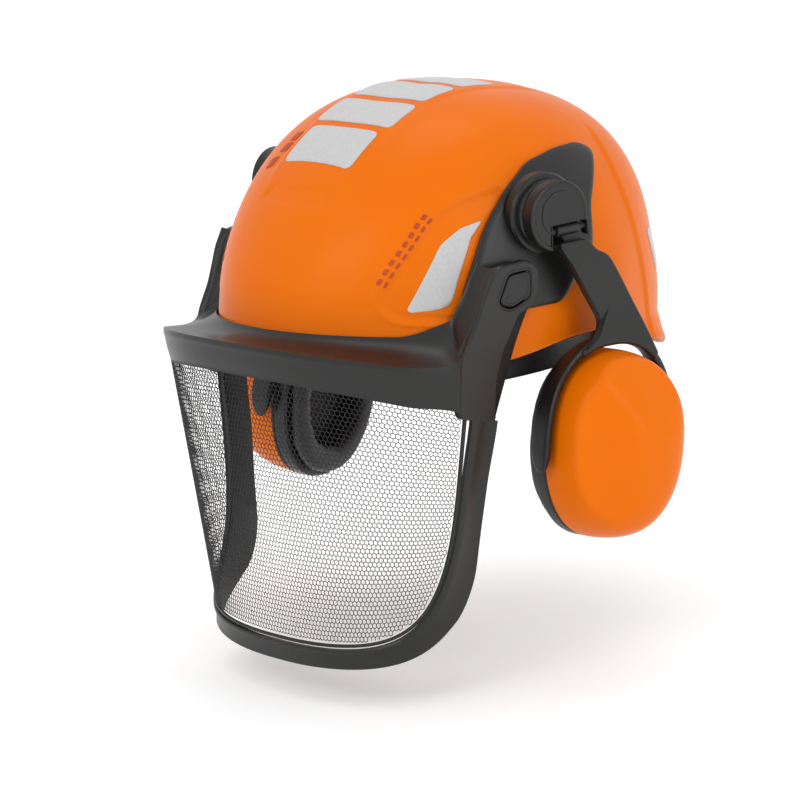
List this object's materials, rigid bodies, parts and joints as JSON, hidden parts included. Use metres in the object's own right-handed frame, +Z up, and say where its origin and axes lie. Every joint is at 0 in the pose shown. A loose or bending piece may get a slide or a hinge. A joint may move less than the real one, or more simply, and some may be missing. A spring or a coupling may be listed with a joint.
{
  "type": "forestry helmet",
  "caption": "Hard-shell forestry helmet with a lifting face mesh under a brow guard, ear muffs on swivelling arms and a ratchet-adjusted suspension harness.",
  "frame": {"origin": "head seat: middle of the headband opening, at the height of the shell's rim plane", "axes": "+Z up through the crown, -Y towards the helmet's front, +X towards the wearer's left"},
  "size_m": [0.3398, 0.3139, 0.3151],
  "materials": {
    "orange_plastic": "satin moulded plastic",
    "black_plastic": "satin moulded plastic",
    "harness_plastic": "fine-grained plastic",
    "reflective_film": "retroreflective film",
    "webbing": "woven strap",
    "sweatband_fabric": "brushed fabric over foam",
    "pad_fabric": "brushed fabric over foam",
    "woven_mesh": "open woven nylon mesh",
    "edge_bead": "smooth bead",
    "cushion_skin": "soft artificial leather over foam",
    "foam": "open-cell foam",
    "steel": "plain turned steel"
  },
  "bodies": {
    "helmet": {"shell": "orange_plastic", "crown_reflector_1": "reflective_film", "crown_reflector_2": "reflective_film", "crown_reflector_3": "reflective_film", "crown_reflector_4": "reflective_film", "side_reflector_left": "reflective_film", "side_reflector_right": "reflective_film", "rear_reflector_left": "reflective_film", "rear_reflector_right": "reflective_film", "side_adapter_left": "black_plastic", "side_adapter_right": "black_plastic", "hub_base_left": "black_plastic", "hub_base_right": "black_plastic", "pivot_pin_left": "steel", "pivot_pin_right": "steel", "harness_clip_front_left": "harness_plastic", "harness_clip_front_right": "harness_plastic", "harness_clip_side_left": "harness_plastic", "harness_clip_side_right": "harness_plastic", "harness_clip_rear_left": "harness_plastic", "harness_clip_rear_right": "harness_plastic", "headband": "harness_plastic", "brow_sweatband": "sweatband_fabric", "nape_pad": "pad_fabric", "crown_strap_front_left": "webbing", "crown_strap_sides": "webbing", "crown_strap_front_right": "webbing", "ratchet_housing": "harness_plastic"},
    "visor": {"brow_guard": "black_plastic", "visor_frame": "black_plastic", "mesh_bead": "edge_bead", "visor_mesh": "woven_mesh", "visor_arm_left": "black_plastic", "visor_arm_right": "black_plastic"},
    "knob": {"ratchet_knob": "harness_plastic"},
    "rack_left": {"adjuster_rack_left": "harness_plastic"},
    "rack_right": {"adjuster_rack_right": "harness_plastic"},
    "button_left": {"lock_button_left": "black_plastic"},
    "turntable_left": {"muff_turntable_left": "black_plastic", "knuckle_pin_left": "steel"},
    "hanger_left": {"muff_hanger_left": "harness_plastic"},
    "yoke_left": {"muff_yoke_left": "black_plastic"},
    "cup_left": {"cup_shell_left": "orange_plastic", "cup_base_left": "black_plastic", "ear_cushion_left": "cushion_skin", "foam_insert_left": "foam"},
    "button_right": {"lock_button_right": "black_plastic"},
    "turntable_right": {"muff_turntable_right": "black_plastic", "knuckle_pin_right": "steel"},
    "hanger_right": {"muff_hanger_right": "harness_plastic"},
    "yoke_right": {"muff_yoke_right": "black_plastic"},
    "cup_right": {"cup_shell_right": "orange_plastic", "cup_base_right": "black_plastic", "ear_cushion_right": "cushion_skin", "foam_insert_right": "foam"}
  },
  "joints": [
    {"name": "visor_pivot", "type": "hinge", "parent": "helmet", "child": "visor", "pos_m": [0, -0.0523, 0.0367], "axis": [-1, 0, 0], "range_deg": [0, 85]},
    {"name": "lock_button_press_left", "type": "slide", "parent": "visor", "child": "button_left", "axis": [-1, 0, 0], "range_m": [0, 0.0015], "stiffness_N_per_m": 400},
    {"name": "lock_button_press_right", "type": "slide", "parent": "visor", "child": "button_right", "axis": [1, 0, 0], "range_m": [0, 0.0015], "stiffness_N_per_m": 400},
    {"name": "ratchet_turn", "type": "hinge", "parent": "helmet", "child": "knob", "pos_m": [0, 0.096, -0.013], "axis": [0, 1, 0], "range_deg": [-100, 100]},
    {"name": "rack_slide_left", "type": "hinge", "parent": "helmet", "child": "rack_left", "pos_m": [0, 0.008, -0.013], "axis": [0, 0, 1], "range_deg": [-5.5, 5.5]},
    {"name": "rack_slide_right", "type": "hinge", "parent": "helmet", "child": "rack_right", "pos_m": [0, 0.008, -0.013], "axis": [0, 0, 1], "range_deg": [-5.5, 5.5]},
    {"name": "muff_swivel_left", "type": "hinge", "parent": "helmet", "child": "turntable_left", "pos_m": [0.11422, -0.01778, 0.0718], "axis": [0.9925, -0.1219, 0], "range_deg": [-6, 8]},
    {"name": "muff_swing_left", "type": "hinge", "parent": "turntable_left", "child": "hanger_left", "pos_m": [0.11909, -0.01132, 0.0628], "axis": [-0.1219, -0.9925, 0], "range_deg": [0, 30]},
    {"name": "muff_height_left", "type": "slide", "parent": "hanger_left", "child": "yoke_left", "axis": [0.1155, 0.4432, -0.8889], "range_m": [0, 0.012]},
    {"name": "cup_tilt_left", "type": "hinge", "parent": "yoke_left", "child": "cup_left", "pos_m": [0.12045, 0.00058, -0.07029], "axis": [0.1339, 0.9652, -0.2244], "range_deg": [-9, 9]},
    {"name": "muff_swivel_right", "type": "hinge", "parent": "helmet", "child": "turntable_right", "pos_m": [-0.11422, -0.01778, 0.0718], "axis": [0.9925, 0.1219, 0], "range_deg": [-6, 8]},
    {"name": "muff_swing_right", "type": "hinge", "parent": "turntable_right", "child": "hanger_right", "pos_m": [-0.11909, -0.01132, 0.0628], "axis": [-0.1219, 0.9925, 0], "range_deg": [0, 30]},
    {"name": "muff_height_right", "type": "slide", "parent": "hanger_right", "child": "yoke_right", "axis": [-0.1155, 0.4432, -0.8889], "range_m": [0, 0.012]},
    {"name": "cup_tilt_right", "type": "hinge", "parent": "yoke_right", "child": "cup_right", "pos_m": [-0.12045, 0.00058, -0.07029], "axis": [0.1339, -0.9652, 0.2244], "range_deg": [-9, 9]}
  ],
  "couplings": [
    {"joint": "rack_slide_left", "follows": "ratchet_turn", "ratio": 0.0539},
    {"joint": "rack_slide_right", "follows": "ratchet_turn", "ratio": -0.0539}
  ]
}
